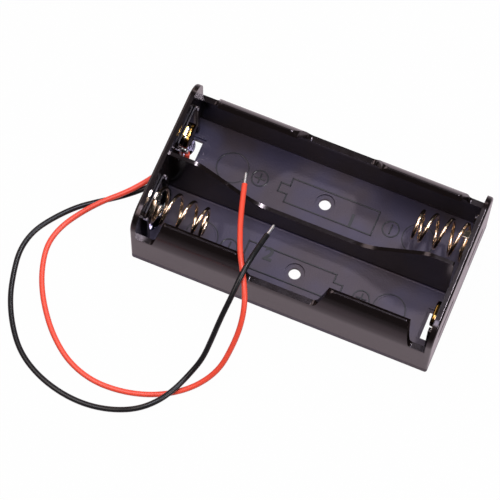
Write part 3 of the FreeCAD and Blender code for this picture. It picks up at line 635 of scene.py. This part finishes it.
def raise_ring(bm, middle, radius, width, rise):
    """Round rib on the floor, turned from its section."""
    centre = Vector((middle[0], middle[1], FLOOR_TOP - rise / 2))
    inner, outer = radius - width / 2, radius + width / 2
    shoulder, top = rise * 1.2, rise * 1.5
    section = ((inner, 0), (inner, shoulder), (inner + width / 4, top),
               (outer - width / 4, top), (outer, shoulder), (outer, 0))
    verts = [bm.verts.new(centre + Vector((across, 0, up))) for across, up in section]
    edges = [bm.edges.new(pair) for pair in zip(verts, verts[1:] + verts[:1])]
    bmesh.ops.spin(bm, geom=verts + edges, cent=centre, axis=(0, 0, 1), angle=math.tau, steps=48,
                   use_merge=True, use_duplicate=False)


def raise_digit(bm, digit, middle, height, rise):
    """Plain number that stands up from the floor."""
    text = bpy.data.curves.new("digit", "FONT")
    text.body = digit
    text.size = height * 1.4
    text.align_x = "CENTER"
    text.align_y = "CENTER"
    text.extrude = rise
    text.offset = height * 0.04
    data = curve_mesh("digit", text)
    data.transform(Matrix.Translation((middle[0], middle[1], FLOOR_TOP)))
    bm.from_mesh(data)
    bpy.data.meshes.remove(data)


def in_bay(points, bay):
    """Points drawn for the back bay, in metres, turned half round for the front bay."""
    return [(bay * x * MM, bay * y * MM) for x, y in points]


class CELLHOLDER_OT_housing(bpy.types.Operator):
    """Finish the moulded housing"""
    bl_idname = "cellholder.housing"
    bl_label = "Housing"

    def execute(self, context):
        settings = context.scene.cell_housing
        soften_node("housing", "housing_moulding", settings.edge_round,
                    black_moulding(settings))
        return {"FINISHED"}


class CELLHOLDER_OT_marks(bpy.types.Operator):
    """Raise the cell outlines, polarity signs and bay numbers on the floors"""
    bl_idname = "cellholder.marks"
    bl_label = "Bay Marks"

    def execute(self, context):
        settings = context.scene.cell_marks
        width, rise = settings.line_width, settings.line_rise
        bm = bmesh.new()
        for bay, digit in ((1, "1"), (-1, "2")):
            raise_line(bm, in_bay(CELL_OUTLINE, bay), True, width, rise)
            for along in (-DIMPLE_PLACE, DIMPLE_PLACE):
                raise_ring(bm, (along, bay * BAY_MIDDLE), settings.dimple_radius, width * 0.7, rise * 0.6)
            for along in (PLUS_PLACE, MINUS_PLACE):
                raise_ring(bm, in_bay([(along, SIGN_ROW)], bay)[0], SIGN_RADIUS * MM, width, rise)
                stroke = ((along, SIGN_ROW - SIGN_STROKE), (along, SIGN_ROW + SIGN_STROKE))
                raise_line(bm, in_bay(stroke, bay), False, width, rise)
            cross_stroke = ((PLUS_PLACE - SIGN_STROKE, SIGN_ROW), (PLUS_PLACE + SIGN_STROKE, SIGN_ROW))
            raise_line(bm, in_bay(cross_stroke, bay), False, width, rise)
            raise_digit(bm, digit, in_bay([DIGIT_PLACE], bay)[0], settings.digit_height, rise)
        add_piece("bay_marks", mesh_from(bm, "bay_marks", False),
                  bpy.data.materials["black_moulding"], HOLDER)
        return {"FINISHED"}


# ---------------------------------------------------------------- contact plates


class CELLHOLDER_OT_contacts(bpy.types.Operator):
    """Finish the stamped contact plates"""
    bl_idname = "cellholder.contacts"
    bl_label = "Contact Plates"

    def execute(self, context):
        settings = context.scene.cell_contacts
        metal = nickel_sheet(settings)
        for node_name, name in (("positive_contact_plate", "positive_plate"),
                                ("negative_contact_plate", "negative_plate"),
                                ("series_bridge_plate", "bridge_plate")):
            soften_node(node_name, name, settings.edge_round, metal)
        return {"FINISHED"}


# ---------------------------------------------------------------- springs


def coil_points(settings):
    """Points of the wire's centre line, its axis along -X, from the flat turn on the plate."""
    turns = settings.seat_turns + settings.open_turns + settings.tip_turns
    count = round(turns * settings.steps_per_turn)
    points = []
    for step in range(count + 1):
        turn = turns * step / count
        opened = min(max(turn - settings.seat_turns, 0), settings.open_turns)
        shut = max(turn - settings.seat_turns - settings.open_turns, 0)
        taper = opened / settings.open_turns
        radius = settings.base_radius + (settings.tip_radius - settings.base_radius) * taper
        angle = WIRE_START + math.tau * turn
        along = settings.pitch * opened + settings.tip_pitch * shut
        points.append(Vector((-along, radius * math.cos(angle), radius * math.sin(angle))))
    return points


def wind_spring(settings, node_name, name, end, bay, turn, metal):
    """Coil of round wire with cut ends, set on its plate."""
    data = curve_mesh(name, nurbs_line(name, coil_points(settings), settings.wire_diameter, resolution=3))
    seat = PLATE_FACE - SPRING_SEAT_GAP - settings.wire_diameter / 2
    turned = Matrix.Rotation(math.pi if end < 0 else 0.0, 4, "Z") @ Matrix.Rotation(turn, 4, "X")
    data.transform(Matrix.Translation((end * seat, bay * BAY_MIDDLE, CELL_AXIS_HEIGHT)) @ turned)
    for polygon in data.polygons:
        polygon.use_smooth = True
    piece = add_piece(name, data, metal, HOLDER)
    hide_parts(node_name)
    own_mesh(piece)


class CELLHOLDER_OT_springs(bpy.types.Operator):
    """Wind the two coil springs"""
    bl_idname = "cellholder.springs"
    bl_label = "Springs"

    def execute(self, context):
        settings = context.scene.cell_springs
        metal = spring_wire(settings)
        wind_spring(settings, "back_bay_spring", "back_spring", 1, 1, BACK_SPRING_TURN,
                    metal)
        wind_spring(settings, "front_bay_spring", "front_spring", -1, -1, FRONT_SPRING_TURN,
                    metal)
        return {"FINISHED"}


# ---------------------------------------------------------------- leads


def edges_among(bm, verts):
    """Edges that join these vertices to each other."""
    among = set(verts)
    return [edge for edge in bm.edges if set(edge.verts) <= among]


def twisted_end(bm, start, direction, length, radius):
    """Stripped end: strands twisted together and dipped in tin, rounded off at the tip."""
    strands, verts_per_strand, groove = 7, 4, 0.91
    steps, twist, tip_share = 14, math.radians(200), 0.55
    rise, rounding = length / steps, radius * 0.8
    front = bmesh.ops.create_circle(bm, cap_ends=False, radius=radius,
                                    segments=strands * verts_per_strand)["verts"]
    for vert in front[::verts_per_strand]:
        vert.co *= groove
    bmesh.ops.contextual_create(bm, geom=edges_among(bm, front))
    for step in range(1, steps + 1):
        made = bmesh.ops.extrude_edge_only(bm, edges=edges_among(bm, front))["geom"]
        front = [item for item in made if isinstance(item, bmesh.types.BMVert)]
        bmesh.ops.translate(bm, verts=front, vec=(0, 0, rise))
        bmesh.ops.rotate(bm, verts=front, cent=(0, 0, 0), matrix=Matrix.Rotation(twist / steps, 3, "Z"))
        if step == steps - 1:
            bmesh.ops.translate(bm, verts=front, vec=(0, 0, rise - rounding))
        if step == steps:
            bmesh.ops.scale(bm, verts=front, vec=(tip_share, tip_share, 1.0))
    bmesh.ops.contextual_create(bm, geom=edges_among(bm, front))
    turned = direction.to_track_quat("Z", "Y").to_matrix().to_4x4()
    bmesh.ops.transform(bm, verts=bm.verts, matrix=Matrix.Translation(start) @ turned)


def face_outwards(bm):
    """Turns the faces of one closed shape outwards."""
    bmesh.ops.recalc_face_normals(bm, faces=bm.faces)
    if bm.calc_volume(signed=True) < 0.0:
        bmesh.ops.reverse_faces(bm, faces=bm.faces)


def lay_lead(settings, colour_name, route, material, strands, solder):
    """Lead on the route it rests in, its bare ends, and the finish of its soldered joint."""
    points = [Vector(point) * MM for point in route]
    name = colour_name + "_insulation"
    curve = nurbs_line(name, points, settings.diameter, resolution=10)
    lead = add_piece(name, curve, material, HOLDER)
    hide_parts(colour_name + "_lead")
    both_ends = bmesh.new()
    for end, neighbour, length in ((points[-1], points[-2], settings.bare_length),
                                   (points[0], points[1], settings.soldered_length)):
        bm = bmesh.new()
        twisted_end(bm, end, (end - neighbour).normalized(), length, settings.conductor_diameter / 2)
        face_outwards(bm)
        one_end = mesh_from(bm, "one_end")
        both_ends.from_mesh(one_end)
        bpy.data.meshes.remove(one_end)
    name = colour_name + "_bare_ends"
    bare = add_piece(name, mesh_from(both_ends, name), strands, HOLDER)
    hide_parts(colour_name + "_conductor")
    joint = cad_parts[colour_name + "_solder_joint"]
    joint.data.materials.clear()
    joint.data.materials.append(solder)
    return lead, bare


class CELLHOLDER_OT_leads(bpy.types.Operator):
    """Lay the red and the black lead with their bare ends and joints"""
    bl_idname = "cellholder.leads"
    bl_label = "Leads"

    def execute(self, context):
        settings = context.scene.cell_leads
        strands, solder = tinned_strands(), solder_metal()
        red = insulation("red_insulation", settings.red, WORN_RED, roughness=0.38, shine=0.5)
        black = insulation("black_insulation", settings.black, WORN_BLACK, roughness=0.28, shine=0.3)
        for colour_name, route, length, exit_point, material in (
                ("red", RED_ROUTE, RED_LENGTH, RED_EXIT, red),
                ("black", BLACK_ROUTE, BLACK_LENGTH, BLACK_EXIT, black)):
            lead, bare = lay_lead(settings, colour_name, route, material, strands, solder)
        return {"FINISHED"}


# ---------------------------------------------------------------- stage


def softbox(name, place, size, power, colour):
    """Rectangular area lamp at a place, turned to the origin."""
    lamp = bpy.data.lights.new(name, "AREA")
    lamp.shape = "RECTANGLE"
    lamp.size, lamp.size_y = size
    lamp.energy = power
    lamp.color = colour
    holder = bpy.data.objects.new(name, lamp)
    bpy.context.scene.collection.objects.link(holder)
    holder.location = place
    holder.rotation_euler = (-Vector(place)).to_track_quat("-Z", "Y").to_euler()


def camera_matrix(settings):
    """Place and turn of the camera, from its angles and the point it looks at."""
    azimuth, elevation, roll = settings.azimuth, settings.elevation, settings.roll
    target = Vector(CAMERA_TARGET)
    back = Vector((math.sin(azimuth) * math.cos(elevation), -math.cos(azimuth) * math.cos(elevation),
                   math.sin(elevation)))
    level = (-back).cross(Vector((0, 0, 1))).normalized()
    upright = level.cross(-back).normalized()
    right = level * math.cos(roll) + upright * math.sin(roll)
    up = -level * math.sin(roll) + upright * math.cos(roll)
    turned = Matrix((right, up, back)).transposed().to_4x4()
    return Matrix.Translation(target + back * settings.distance) @ turned


class CELLHOLDER_OT_stage(bpy.types.Operator):
    """Set the bench, the lamps and the camera"""
    bl_idname = "cellholder.stage"
    bl_label = "Stage"

    def execute(self, context):
        settings = context.scene.cell_stage
        scene = context.scene
        bm = bmesh.new()
        bmesh.ops.create_grid(bm, x_segments=1, y_segments=1, size=BENCH_HALF_SIZE,
                              matrix=Matrix.Translation((0, 0, -BENCH_DROP)))
        bench = add_piece("bench", mesh_from(bm, "bench", False), bench_white(settings.bench_colour))
        world = bpy.data.worlds.new("studio")
        scene.world = world
        world.use_nodes = True
        background = world.node_tree.nodes["Background"]
        background.inputs["Color"].default_value = (1.0, 1.0, 1.0, 1.0)
        background.inputs["Strength"].default_value = WORLD_STRENGTH
        for lamp in LAMPS:
            softbox(*lamp)
        camera_data = bpy.data.cameras.new("camera")
        camera_data.lens = settings.focal_length
        camera_data.sensor_width = SENSOR_WIDTH
        camera_data.clip_start = 0.01
        camera_data.clip_end = 20.0
        camera = bpy.data.objects.new("camera", camera_data)
        scene.collection.objects.link(camera)
        camera.matrix_world = camera_matrix(settings)
        scene.camera = camera
        scene.view_settings.view_transform = "Standard"
        return {"FINISHED"}


# ---------------------------------------------------------------- panel and run


class CELLHOLDER_PT_panel(bpy.types.Panel):
    """Buttons that make the pieces of the cell holder"""
    bl_idname = "CELLHOLDER_PT_panel"
    bl_label = "Cell Holder"
    bl_space_type = "VIEW_3D"
    bl_region_type = "UI"
    bl_category = "Cell Holder"

    def draw(self, context):
        for label, pointer, operator in PARTS:
            box = self.layout.box()
            box.label(text=label)
            settings = getattr(context.scene, pointer)
            for name in settings.bl_rna.properties.keys():
                if name not in ("rna_type", "name"):
                    box.prop(settings, name)
            box.operator(operator)


PARTS = (
    ("Stage", "cell_stage", "cellholder.stage"),
    ("Housing", "cell_housing", "cellholder.housing"),
    ("Bay Marks", "cell_marks", "cellholder.marks"),
    ("Contact Plates", "cell_contacts", "cellholder.contacts"),
    ("Springs", "cell_springs", "cellholder.springs"),
    ("Leads", "cell_leads", "cellholder.leads"),
)

SETTINGS = (
    ("cell_stage", StageSettings),
    ("cell_housing", HousingSettings),
    ("cell_marks", MarkSettings),
    ("cell_contacts", ContactSettings),
    ("cell_springs", SpringSettings),
    ("cell_leads", LeadSettings),
)

OPERATORS = (
    CELLHOLDER_OT_stage,
    CELLHOLDER_OT_housing,
    CELLHOLDER_OT_marks,
    CELLHOLDER_OT_contacts,
    CELLHOLDER_OT_springs,
    CELLHOLDER_OT_leads,
    CELLHOLDER_PT_panel,
)


def register():
    for pointer, group in SETTINGS:
        bpy.utils.register_class(group)
        setattr(bpy.types.Scene, pointer, PointerProperty(type=group))
    for operator in OPERATORS:
        bpy.utils.register_class(operator)


def unregister():
    for operator in reversed(OPERATORS):
        bpy.utils.unregister_class(operator)
    for pointer, group in reversed(SETTINGS):
        delattr(bpy.types.Scene, pointer)
        bpy.utils.unregister_class(group)


def main():
    register()
    bpy.ops.cellholder.stage()
    bpy.ops.cellholder.housing()
    bpy.ops.cellholder.marks()
    bpy.ops.cellholder.contacts()
    bpy.ops.cellholder.springs()
    bpy.ops.cellholder.leads()
    bpy.context.view_layer.update()


if __name__ == "__main__":
    main()
